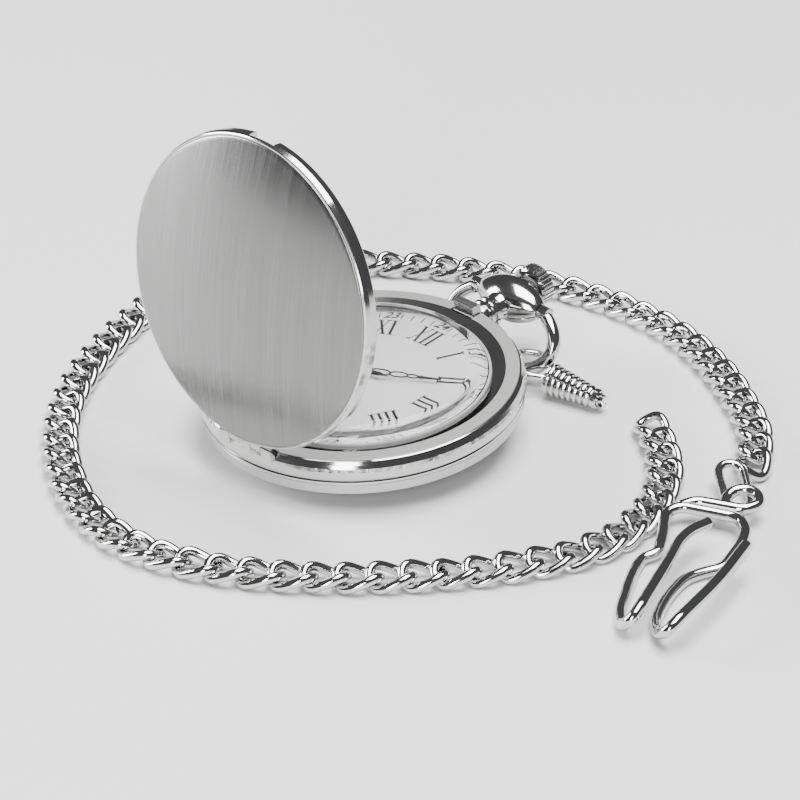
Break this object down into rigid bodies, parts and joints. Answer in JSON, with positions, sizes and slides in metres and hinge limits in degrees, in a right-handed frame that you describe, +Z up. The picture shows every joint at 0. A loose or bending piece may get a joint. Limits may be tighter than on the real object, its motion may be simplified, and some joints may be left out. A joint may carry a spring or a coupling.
{
  "type": "hunter pocket watch",
  "caption": "Pocket watch with a sprung front lid on a hinge, white dial with Roman numerals, swinging bow, and a curb chain with a ribbed clasp and a wire trouser clip.",
  "frame": {"origin": "middle of the flat of the case back; the surface the watch lies on is 0.95 mm lower, because the case leans on the edge of that flat", "axes": "+Z up, +Y towards the pendant and 12 o'clock, +X towards 3 o'clock; the case leans 5.44 degrees about X, pendant end up"},
  "size_m": [0.1212, 0.1045, 0.0526],
  "materials": {
    "polished_steel": "polished",
    "brushed_steel": "brushed",
    "satin_ring": "satin",
    "wire_steel": "polished wire",
    "chain_steel": "polished links",
    "crystal": "clear",
    "gasket": "clear moulded",
    "dial_white": "satin white",
    "hand_black": "black",
    "holder_plastic": "moulded",
    "plate_metal": "plated",
    "gear_brass": "fine turned",
    "gear_plastic": "moulded",
    "screw_steel": "blued",
    "copper": "enamelled copper wire",
    "board": "solder mask"
  },
  "bodies": {
    "case": {"back_cover": "brushed_steel", "case_middle": "polished_steel", "hinge_pin": "wire_steel", "bezel": "satin_ring", "crystal": "crystal", "crystal_gasket": "gasket", "back_gasket": "gasket", "dial": "dial_white", "movement_ring": "holder_plastic", "main_plate": "plate_metal", "train_bridge": "plate_metal", "bridge_screws": "screw_steel", "battery": "brushed_steel", "battery_clamp": "brushed_steel", "stator": "brushed_steel", "coil_core": "brushed_steel", "coil": "copper", "circuit_board": "board", "quartz_can": "brushed_steel", "setting_lever": "brushed_steel", "pendant": "polished_steel", "lid_spring": "brushed_steel"},
    "lid": {"lid_dome": "brushed_steel", "lid_rim": "polished_steel"},
    "pusher": {"pusher_sleeve": "brushed_steel"},
    "stem_slide": {"stem_collar": "brushed_steel"},
    "crown_and_stem": {"crown": "polished_steel", "crown_gasket": "gasket", "stem": "brushed_steel", "sliding_pinion": "brushed_steel"},
    "catch_body": {"catch": "brushed_steel"},
    "bow_body": {"bow": "wire_steel"},
    "chain_body": {"clasp_wire": "wire_steel", "chain": "chain_steel", "end_link": "wire_steel", "trouser_clip": "wire_steel"},
    "sleeve_body": {"clasp_sleeve": "polished_steel"},
    "seconds": {"second_hand": "hand_black", "fourth_wheel": "gear_plastic"},
    "fifth": {"fifth_wheel": "gear_plastic"},
    "rotor_body": {"rotor": "gear_plastic"},
    "third": {"third_wheel": "gear_plastic"},
    "centre": {"centre_wheel": "gear_brass"},
    "minutes": {"minute_hand": "hand_black", "cannon_pinion": "gear_brass"},
    "minute_gear": {"minute_wheel": "gear_brass"},
    "hours": {"hour_hand": "hand_black", "hour_wheel": "gear_brass"}
  },
  "joints": [
    {"name": "lid_hinge", "type": "hinge", "parent": "case", "child": "lid", "pos_m": [0.00087, -0.02341, 0.00678], "axis": [0.9993, 0.0382, 0.0036], "range_deg": [-79.6, 0], "stiffness_Nm_per_rad": 0.002, "springref_deg": 20.05},
    {"name": "crown_push", "type": "slide", "parent": "case", "child": "pusher", "axis": [0, -0.9955, -0.0948], "range_m": [0, 0.00045], "stiffness_N_per_m": 600, "springref_m": -0.0008},
    {"name": "crown_pull", "type": "slide", "parent": "pusher", "child": "stem_slide", "axis": [0, 0.9955, 0.0948], "range_m": [0, 0.001]},
    {"name": "crown_turn", "type": "hinge", "parent": "stem_slide", "child": "crown_and_stem", "pos_m": [0, 0.03522, 0.00988], "axis": [0, 0.9955, 0.0948], "continuous": true},
    {"name": "catch_slide", "type": "slide", "parent": "case", "child": "catch_body", "axis": [0, -0.9955, -0.0948], "range_m": [0, 0.00045]},
    {"name": "bow_swing", "type": "hinge", "parent": "case", "child": "bow_body", "pos_m": [0, 0.0304, 0.00942], "axis": [1, 0, 0], "range_deg": [-3, 60]},
    {"name": "clasp_swing", "type": "hinge", "parent": "bow_body", "child": "chain_body", "pos_m": [0.0085, 0.02707, 0.00243], "axis": [1, 0, 0], "range_deg": [-60, 3]},
    {"name": "sleeve_slide", "type": "slide", "parent": "chain_body", "child": "sleeve_body", "axis": [0.982, 0.1669, -0.0884], "range_m": [0, 0.0009], "stiffness_N_per_m": 200, "springref_m": -0.001},
    {"name": "second_hand_turn", "type": "hinge", "parent": "case", "child": "seconds", "pos_m": [0, -0.00024, 0.00249], "axis": [0, 0.0948, -0.9955], "continuous": true},
    {"name": "fifth_wheel_turn", "type": "hinge", "parent": "case", "child": "fifth", "pos_m": [-0.005, -0.00024, 0.00249], "axis": [0, 0.0948, -0.9955], "continuous": true},
    {"name": "rotor_turn", "type": "hinge", "parent": "case", "child": "rotor_body", "pos_m": [-0.00723, -0.00248, 0.00258], "axis": [0, 0.0948, -0.9955], "continuous": true},
    {"name": "third_wheel_turn", "type": "hinge", "parent": "case", "child": "third", "pos_m": [0.00252, 0.00406, 0.0034], "axis": [0, 0.0948, -0.9955], "continuous": true},
    {"name": "centre_wheel_turn", "type": "hinge", "parent": "case", "child": "centre", "pos_m": [0, -0.00041, 0.00428], "axis": [0, 0.0948, -0.9955], "continuous": true},
    {"name": "minute_hand_turn", "type": "hinge", "parent": "case", "child": "minutes", "pos_m": [0, -0.00079, 0.00826], "axis": [0, 0.0948, -0.9955], "continuous": true},
    {"name": "minute_wheel_turn", "type": "hinge", "parent": "case", "child": "minute_gear", "pos_m": [0, 0.0042, 0.00653], "axis": [0, 0.0948, -0.9955], "continuous": true},
    {"name": "hour_hand_turn", "type": "hinge", "parent": "case", "child": "hours", "pos_m": [0, -0.00076, 0.00796], "axis": [0, 0.0948, -0.9955], "continuous": true}
  ],
  "couplings": [
    {"joint": "catch_slide", "follows": "crown_push", "ratio": 1},
    {"joint": "clasp_swing", "follows": "bow_swing", "ratio": -1},
    {"joint": "fifth_wheel_turn", "follows": "second_hand_turn", "ratio": -5},
    {"joint": "rotor_turn", "follows": "second_hand_turn", "ratio": 30},
    {"joint": "third_wheel_turn", "follows": "second_hand_turn", "ratio": -0.13333},
    {"joint": "centre_wheel_turn", "follows": "second_hand_turn", "ratio": 0.016667},
    {"joint": "minute_wheel_turn", "follows": "minute_hand_turn", "ratio": -0.33333},
    {"joint": "hour_hand_turn", "follows": "minute_hand_turn", "ratio": 0.083333}
  ]
}
